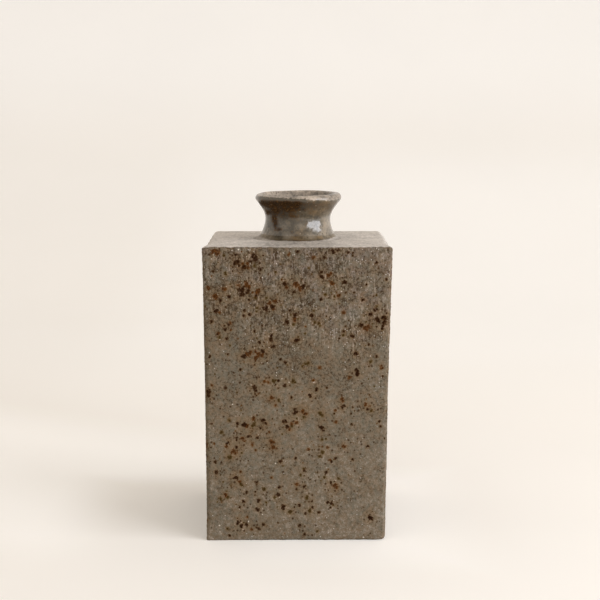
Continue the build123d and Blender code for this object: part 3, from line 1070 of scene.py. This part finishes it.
def glaze_fields(points, angles, row, stage):
    """How rich in iron, ochre, thin and pale the glaze is, by angle and row, with painted shade and light in
    the patches and in where the lip turns pale. The lip takes rows 54 to 86.
    """
    across, down = photo_pixels(points, stage)
    outside = smooth_step(66, 58, row)
    # Painted shade: on the side away from the window the lip's pale glaze starts higher, so its outer face
    # stays darker
    dark = smooth_step(0.25, 1, 0.5 + 0.5 * np.cos(angles - radians(205)))
    return {"band": outside * patches(across, down, DARK_GLAZE_PIXELS),
            "ochre": outside * patches(across, down, OCHRE_GLAZE_PIXELS),
            "thin": outside * patches(across, down, TAN_GLAZE_PIXELS),
            "lip": smooth_step(0, 8, row - 55 - 10 * dark) * smooth_step(98, 88, row),
            "inside": smooth_step(86, 99, row)}


def seen_rays(nodes):
    """Share of a ray that the camera, a reflection or a glass sees, and not of one that carries light."""
    ray = nodes.put("ShaderNodeLightPath").outputs
    seen = nodes.larger(ray["Is Camera Ray"], ray["Is Glossy Ray"])
    return nodes.larger(seen, ray["Is Transmission Ray"])


# The long shadow runs back to the left. These shares of X and Y give the distance from its middle line
SHADOW_ACROSS = (0.485, 0.875)

# The window's panes: width, height and the distance between their middles
PANE_WIDTH, PANE_HEIGHT, PANE_SPACING = 0.51, 0.66, 0.53


def paper_lift(nodes, place, stage):
    """Brightness of the paper to the camera, uneven: painted light that glows behind the vase and lightens
    the far part of its shadow and the shade close in front of it and to its right.
    """
    x, y, z = nodes.split(place)
    lift = nodes.mix(nodes.ramp(z, 0.06, 0.3), stage.backdrop_lift, stage.far_lift)
    glow = nodes.times(nodes.ramp(y, 0.15, 0.6), nodes.ramp(z, 0.2, 0.1))
    glow = nodes.times(glow, nodes.ramp(x, -0.22, -0.08, 0.45, 1.0))
    lift = nodes.mix(glow, lift, stage.glow_lift)
    across = nodes.plus(nodes.times(x, SHADOW_ACROSS[0]), nodes.times(y, SHADOW_ACROSS[1]))
    shaded = nodes.ramp(nodes.maths("ABSOLUTE", across), 0.14, 0.05)
    shaded = nodes.times(shaded, nodes.ramp(x, 0.06, -0.03))
    past = nodes.larger(nodes.ramp(y, 0.04, 0.08), nodes.ramp(x, -0.08, -0.13))
    beside = nodes.larger(nodes.maths("ABSOLUTE", x), nodes.maths("ABSOLUTE", y))
    beside = nodes.times(nodes.ramp(beside, 0.1, 0.045), nodes.ramp(x, -0.05, 0.0, 0.0, 0.7))
    faded = nodes.larger(nodes.times(shaded, past), beside)
    return nodes.mix(faded, lift, stage.shade_lift)


# Fineness of plain faces: columns and rows inside a wall, and steps across the base
INNER_COLUMNS, INNER_ROWS, BASE_STEPS = 25, 33, 24

# Rings of the shoulder's mesh: up its edge, across its top, down its hole and across its underside
EDGE_RINGS, TOP_RINGS, HOLE_RINGS, UNDER_RINGS = 22, 88, 8, 9


class VASE_OT_walls(bpy.types.Operator):
    """Four wall slabs with mitred edges"""

    bl_idname = "vase.walls"
    bl_label = "Wall slabs"

    def execute(self, context):
        clay = context.scene.vase_clay
        material = rough_clay_material("grogged_stoneware", clay)
        across = columns_across(clay)
        up = np.linspace(BASE_TOP, WALL_TOP, round((WALL_TOP - BASE_TOP) / clay.grid_step) + 1)
        for side, turn in SIDES.items():
            x, z = np.meshgrid(across, up)
            sharp = turned(np.stack([x, np.full_like(x, -HALF), z], axis=-1).reshape(-1, 3), turn)
            places, worked = skin(sharp, clay)
            surface = Surface()
            outside = surface.add(places.reshape(*x.shape, 3))
            surface.grid(outside, (0.01, 0.01, 0.66, 0.99))
            inner_up = np.linspace(BASE_TOP, WALL_TOP, INNER_ROWS)
            inner_x, inner_z = np.meshgrid(np.linspace(-1, 1, INNER_COLUMNS), inner_up)
            reach = side_at(inner_z) / 2 - WALL
            flat = turned(np.stack([inner_x * reach, -reach, inner_z], axis=-1).reshape(-1, 3), turn)
            inside = surface.add(leaned(flat, clay.lean).reshape(*inner_x.shape, 3))
            surface.grid(inside, (0.68, 0.01, 0.98, 0.45))
            strips = ((outside[0], inside[0]), (outside[-1], inside[-1]),
                      (outside[:, 0], inside[:, 0]), (outside[:, -1], inside[:, -1]))
            for number, (outer, inner) in enumerate(strips):
                low = 0.5 + 0.12 * number
                surface.stitch(outer, inner, (0.68, low, 0.98, low + 0.1))
            fields = padded(body_fields(sharp, worked, context.scene), surface.count)
            stand_for(surface.piece(f"{side}_wall", material, fields), f"{side}_wall_slab")
        return {"FINISHED"}


class VASE_OT_base(bpy.types.Operator):
    """Base slab that the walls stand on"""

    bl_idname = "vase.base"
    bl_label = "Base slab"

    def execute(self, context):
        clay = context.scene.vase_clay
        heights = np.concatenate([np.linspace(BASE_TOP, 2 * MM, 12), np.linspace(1.8 * MM, 0, 9)])
        rings = [perimeter(clay, height) for height in heights]
        insets = np.linspace(0.25 * MM, 3 * MM, 10)
        rings += [rings[-1] * np.array([1 - inset / HALF, 1 - inset / HALF, 1]) for inset in insets]
        sharp = np.concatenate(rings)
        places, worked = skin(sharp, clay)
        surface = Surface()
        skirt = surface.add(places.reshape(len(rings), -1, 3))
        surface.grid(skirt, (0.01, 0.6, 0.99, 0.99), closed=True)
        for ring, height, area in ((skirt[0], BASE_TOP, (0.01, 0.01, 0.48, 0.55)),
                                   (skirt[-1], 0.0, (0.52, 0.01, 0.99, 0.55))):
            self.close(surface, ring, height, area, clay)
        fields = padded(body_fields(sharp, worked, context.scene), surface.count)
        piece = surface.piece("base", rough_clay_material("grogged_stoneware", clay), fields)
        stand_for(piece, "base_slab")
        return {"FINISHED"}

    @staticmethod
    def close(surface, ring, height, area, clay):
        """Fills a square ring with a coarse flat grid, a little inside it."""
        reach = side_at(height) / 2 - 4 * MM
        line = np.linspace(-reach, reach, BASE_STEPS + 1)
        x, y = np.meshgrid(line, line)
        flat = leaned(np.stack([x, y, np.full_like(x, height)], axis=-1).reshape(-1, 3), clay.lean)
        grid = surface.add(flat.reshape(*x.shape, 3))
        left, low, right, high = area
        surface.grid(grid, (left, low, right, high - 0.1))
        border = np.concatenate([grid[0, :-1], grid[:-1, -1], grid[-1, :0:-1], grid[::-1, 0]])
        closed = np.append(ring, ring[0])
        surface.stitch(closed, border, (left, high - 0.08, right, high))


class VASE_OT_shoulder(bpy.types.Operator):
    """Shoulder slab with its smoothed top and the hole under the neck"""

    bl_idname = "vase.shoulder"
    bl_label = "Shoulder slab"

    def execute(self, context):
        clay, neck = context.scene.vase_clay, context.scene.vase_neck
        bore = neck.foot_radius - neck.wall
        rings = [perimeter(clay, height) for height in np.linspace(WALL_TOP, BODY_TOP, EDGE_RINGS)]
        edge = rings[-1]
        ray = edge / np.linalg.norm(edge[:, :2], axis=1, keepdims=True) * np.array([1, 1, 0])
        hole = ray * bore + np.array([0, 0, BODY_TOP])
        rings += [edge + (hole - edge) * share for share in np.linspace(0, 1, TOP_RINGS)[1:]]
        sharp = np.concatenate(rings)
        places, worked = skin(sharp, clay)
        surface = Surface()
        top = surface.add(places.reshape(len(rings), -1, 3))
        surface.grid(top, (0.01, 0.3, 0.99, 0.99), closed=True)
        down = np.linspace(BODY_TOP, WALL_TOP, HOLE_RINGS)[1:]
        inside = [ray * bore + np.array([0, 0, height]) for height in down]
        outer = edge * np.array([1, 1, 0]) * (side_at(WALL_TOP) / (2 * HALF) - 0.4 * MM / HALF)
        outer += np.array([0, 0, WALL_TOP])
        inside += [inside[-1] + (outer - inside[-1]) * share for share in np.linspace(0, 1, UNDER_RINGS)[1:]]
        under = surface.add(leaned(np.concatenate(inside), clay.lean).reshape(len(inside), -1, 3))
        rest = np.concatenate([top[-1:], under, top[:1]])
        surface.grid(rest, (0.01, 0.01, 0.99, 0.28), closed=True)
        fields = padded(body_fields(sharp, worked, context.scene), surface.count)
        piece = surface.piece("shoulder", smooth_clay_material("smoothed_stoneware", clay, neck), fields)
        stand_for(piece, "shoulder_slab")
        return {"FINISHED"}


class VASE_OT_neck(bpy.types.Operator):
    """Thrown neck with its rolled lip, glazed"""

    bl_idname = "vase.neck"
    bl_label = "Neck"

    def execute(self, context):
        clay, neck = context.scene.vase_clay, context.scene.vase_neck
        angles = np.linspace(0, tau, NECK_COLUMNS, endpoint=False)
        thin, thick = neck_outline(neck, neck.thin_roll), neck_outline(neck, neck.thick_roll)
        share = (0.5 + 0.5 * np.cos(angles - 0.2))[:, None, None]
        outline = (thin + (thick - thin) * share).transpose(1, 0, 2)
        rows = len(outline)
        flat = spun(outline, angles).reshape(-1, 3)
        around = np.tile(angles, rows)
        rise = flat[:, 2] - BODY_TOP
        coil_top = COIL_TOP - BODY_TOP
        free = smooth_step(coil_top, 2 * coil_top, rise)
        ring = np.sin(tau * rise / RING_SPACING + around)
        lift = neck.ring_height * ring * (0.6 + 0.4 * smooth_noise(flat @ TILT, 9 * MM, RING_SEED))
        lift += SWELL_HEIGHT * smooth_noise(flat @ TILT, SWELL_SIZE, SWELL_SEED)
        lift += RIPPLE_HEIGHT * smooth_noise(flat @ TILT, RIPPLE_SIZE, RIPPLE_SEED)
        ray = np.stack([np.cos(around), np.sin(around), np.zeros_like(around)], axis=1)
        flat += ray * (lift * free)[:, None]
        sway = 0.7 * (0.5 + 0.5 * np.sin(around)) ** 2
        sway += 0.12 * np.cos(2 * around + 0.6)
        sway += 0.08 * np.cos(5 * around)
        flat[:, 2] += MM * sway * smooth_step(0.6, 0.95, rise / (NECK_TOP - BODY_TOP))
        surface = Surface()
        flat = tilted_neck(flat, clay, neck)
        wall = surface.add(flat.reshape(rows, NECK_COLUMNS, 3))
        surface.grid(wall, (0.01, 0.06, 0.99, 0.99), closed=True)
        hidden = [(neck.foot_radius, 0.0), (neck.foot_radius + 0.08 * MM, coil_top - 0.2 * MM)]
        foot = np.array(hidden)[:, None, :] * np.ones((1, NECK_COLUMNS, 1))
        under = surface.add(tilted_neck(spun(foot, angles), clay, neck))
        surface.grid(np.concatenate([wall[-1:], under, wall[:1]]), (0.01, 0.01, 0.99, 0.05), closed=True)
        row = np.repeat(np.arange(rows), NECK_COLUMNS)
        fields = padded(glaze_fields(flat, around, row, context.scene.vase_stage), surface.count)
        stand_for(surface.piece("neck", glaze_material("olive_glaze", neck), fields), "neck_collar")
        return {"FINISHED"}


class VASE_OT_neck_coil(bpy.types.Operator):
    """Coil of clay smoothed round the neck's foot"""

    bl_idname = "vase.neck_coil"
    bl_label = "Neck coil"

    def execute(self, context):
        clay, neck = context.scene.vase_clay, context.scene.vase_neck
        angles = np.linspace(0, tau, NECK_COLUMNS, endpoint=False)
        circle = np.stack([np.cos(angles), np.sin(angles), np.zeros_like(angles)], axis=1)
        reach = COIL_RADIUS + 0.45 * MM * smooth_noise(circle * COIL_RADIUS @ TILT, 9 * MM, COIL_SEED)
        toes = circle * reach[:, None] + np.array([0, 0, BODY_TOP])
        ground = skin(toes, clay)[0][:, 2] - BODY_TOP
        glaze_end = 7 + 5 * smooth_step(0.3, 0.95, -np.sin(angles))
        top = (neck.foot_radius, COIL_TOP - BODY_TOP)
        under = ((1, -0.4 * MM), (0, -0.4 * MM))
        profiles = []
        for radius, level in zip(reach, ground):
            slope = curve(top, (radius, level + 0.04 * MM), heading(156), heading(96), 18)
            sole = [(neck.foot_radius + (radius - neck.foot_radius) * out, height) for out, height in under]
            profiles.append(np.concatenate([slope, sole]))
        outline = np.stack(profiles, axis=1)
        points = tilted_neck(spun(outline, angles), clay, neck)
        surface = Surface()
        ring = surface.add(points)
        surface.grid(np.concatenate([ring, ring[:1]]), (0.01, 0.01, 0.99, 0.99), closed=True)
        flat = points.reshape(-1, 3)
        row = np.repeat(np.arange(len(outline)), NECK_COLUMNS)
        around, lowest_row = np.tile(angles, len(outline)), np.zeros(len(flat))
        fields = glaze_fields(flat, around, lowest_row, context.scene.vase_stage)
        fields |= {"relief": 0.2 * smooth_noise(flat @ TILT, 1.5 * MM, SLIP_SEED),
                   "smoothed": np.full(len(flat), 0.62),
                   "glazed": smooth_step(4, -4, row - np.tile(glaze_end, len(outline)))}
        piece = surface.piece("neck_coil", smooth_clay_material("smoothed_stoneware", clay, neck), fields)
        stand_for(piece, "neck_seam_coil")
        return {"FINISHED"}


class VASE_OT_seam_coils(bpy.types.Operator):
    """Clay of the seam coils inside the body"""

    bl_idname = "vase.seam_coils"
    bl_label = "Seam coils"

    def execute(self, context):
        material = rough_clay_material("seam_coil_clay", context.scene.vase_clay)
        for name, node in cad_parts.items():
            if name.endswith("_coil") and name != "neck_seam_coil":
                node.data.materials.clear()
                node.data.materials.append(material)
        return {"FINISHED"}


class VASE_OT_stage(bpy.types.Operator):
    """Cream paper sweep, window light and camera"""

    bl_idname = "vase.stage"
    bl_label = "Stage"

    def execute(self, context):
        stage = context.scene.vase_stage
        self.sweep(stage)
        self.light(context, stage)
        self.camera(context, stage)
        context.scene.view_settings.view_transform = "Standard"
        return {"FINISHED"}

    @staticmethod
    def sweep(stage):
        """Floor that curves up into a backdrop."""
        near, bend, radius, top, reach = -4.0, 0.6, 1.2, 2.4, 4.0
        arc = [(bend + radius * sin(a), radius - radius * cos(a)) for a in np.linspace(0, pi / 2, 33)]
        line = [(near, 0.0)] + arc + [(bend + radius, top)]
        points = [(x, y, z) for y, z in line for x in (-reach, reach)]
        faces = [(2 * i, 2 * i + 1, 2 * i + 3, 2 * i + 2) for i in range(len(line) - 1)]
        mesh = bpy.data.meshes.new("paper_sweep")
        mesh.from_pydata(points, [], faces)
        mesh.shade_smooth()
        material, nodes, shader = plain_material("cream_paper")
        place = nodes.put("ShaderNodeTexCoord").outputs["Object"]
        fibre = nodes.noise(place, 6.0, 3)
        darker = tuple(0.985 * level for level in stage.floor_colour)
        tint = nodes.mix(nodes.ramp(fibre, 0.3, 0.7), stage.floor_colour, darker)
        nodes.feed(shader.inputs["Base Color"], tint)
        nodes.feed(shader.inputs["Roughness"], 0.95)
        nodes.feed(shader.inputs["Specular IOR Level"], 0.1)
        nodes.feed(shader.inputs["Emission Color"], paper_lift(nodes, place, stage))
        nodes.feed(shader.inputs["Emission Strength"], seen_rays(nodes))
        mesh.materials.append(material)
        sweep = bpy.data.objects.new("paper_sweep", mesh)
        bpy.context.collection.objects.link(sweep)

    @staticmethod
    def light(context, stage):
        """Soft light that is strongest overhead, and one window of two panes to the right."""
        world = bpy.data.worlds.new("room")
        context.scene.world = world
        world.use_nodes = True
        background = world.node_tree.nodes["Background"]
        nodes = Nodes(world.node_tree)
        direction = nodes.split(nodes.put("ShaderNodeTexCoord").outputs["Generated"])
        level = nodes.put("ShaderNodeMapRange")
        forward = nodes.times(direction["Y"], -0.2)
        nodes.feed(level.inputs["Value"], nodes.plus(direction["Z"], forward))
        nodes.feed(level.inputs["To Min"], stage.horizon_strength)
        nodes.feed(level.inputs["To Max"], stage.zenith_strength)
        shade = nodes.tinted(stage.sky_colour, level.outputs[0])
        nodes.feed(background.inputs["Color"], nodes.mix(seen_rays(nodes), shade, stage.room_colour))
        aim = Vector((0, 0, BODY_TOP))
        away = stage.window_distance * cos(stage.window_rise)
        place = aim + Vector((away * sin(stage.window_azimuth), -away * cos(stage.window_azimuth),
                              stage.window_distance * sin(stage.window_rise)))
        turn = (place - aim).to_track_quat("Z", "Y")
        for across in (-0.5, 0.5):
            lamp = bpy.data.lights.new("window_pane", "AREA")
            lamp.shape = "RECTANGLE"
            lamp.size, lamp.size_y = PANE_WIDTH, PANE_HEIGHT
            lamp.energy = stage.window_power / 2
            lamp.color = stage.window_colour
            pane = bpy.data.objects.new("window_pane", lamp)
            pane.location = place + turn @ Vector((PANE_SPACING * across, 0, 0))
            pane.rotation_euler = turn.to_euler()
            context.collection.objects.link(pane)

    @staticmethod
    def camera(context, stage):
        """Camera at the photograph's place."""
        camera = bpy.data.objects.new("camera", bpy.data.cameras.new("camera"))
        camera.location = stage.camera_place
        camera.rotation_euler = (pi / 2 - stage.camera_pitch, 0, 0)
        camera.data.lens = stage.lens
        camera.data.clip_start = 0.01
        context.collection.objects.link(camera)
        context.scene.camera = camera


OPERATORS = (VASE_OT_walls, VASE_OT_base, VASE_OT_shoulder, VASE_OT_neck, VASE_OT_neck_coil,
             VASE_OT_seam_coils, VASE_OT_stage)
SETTINGS = {"vase_clay": VaseClay, "vase_neck": VaseNeck, "vase_stage": VaseStage}


class VASE_PT_panel(bpy.types.Panel):
    """Settings and steps of the vase"""

    bl_idname = "VASE_PT_panel"
    bl_label = "Bottle vase"
    bl_space_type = "VIEW_3D"
    bl_region_type = "UI"
    bl_category = "Vase"

    def draw(self, context):
        for name, settings in SETTINGS.items():
            box = self.layout.box()
            for field in settings.__annotations__:
                box.prop(getattr(context.scene, name), field)
        for operator in OPERATORS:
            self.layout.operator(operator.bl_idname)


def register():
    """Adds the classes and the settings."""
    for cls in (*SETTINGS.values(), *OPERATORS, VASE_PT_panel):
        bpy.utils.register_class(cls)
    for name, settings in SETTINGS.items():
        setattr(bpy.types.Scene, name, PointerProperty(type=settings))


def unregister():
    """Takes the settings and the classes away."""
    for name in SETTINGS:
        delattr(bpy.types.Scene, name)
    for cls in reversed((*SETTINGS.values(), *OPERATORS, VASE_PT_panel)):
        bpy.utils.unregister_class(cls)


def main():
    """Makes every piece and the stage."""
    register()
    bpy.ops.vase.walls()
    bpy.ops.vase.base()
    bpy.ops.vase.shoulder()
    bpy.ops.vase.neck()
    bpy.ops.vase.neck_coil()
    bpy.ops.vase.seam_coils()
    bpy.ops.vase.stage()


if __name__ == "__main__":
    main()
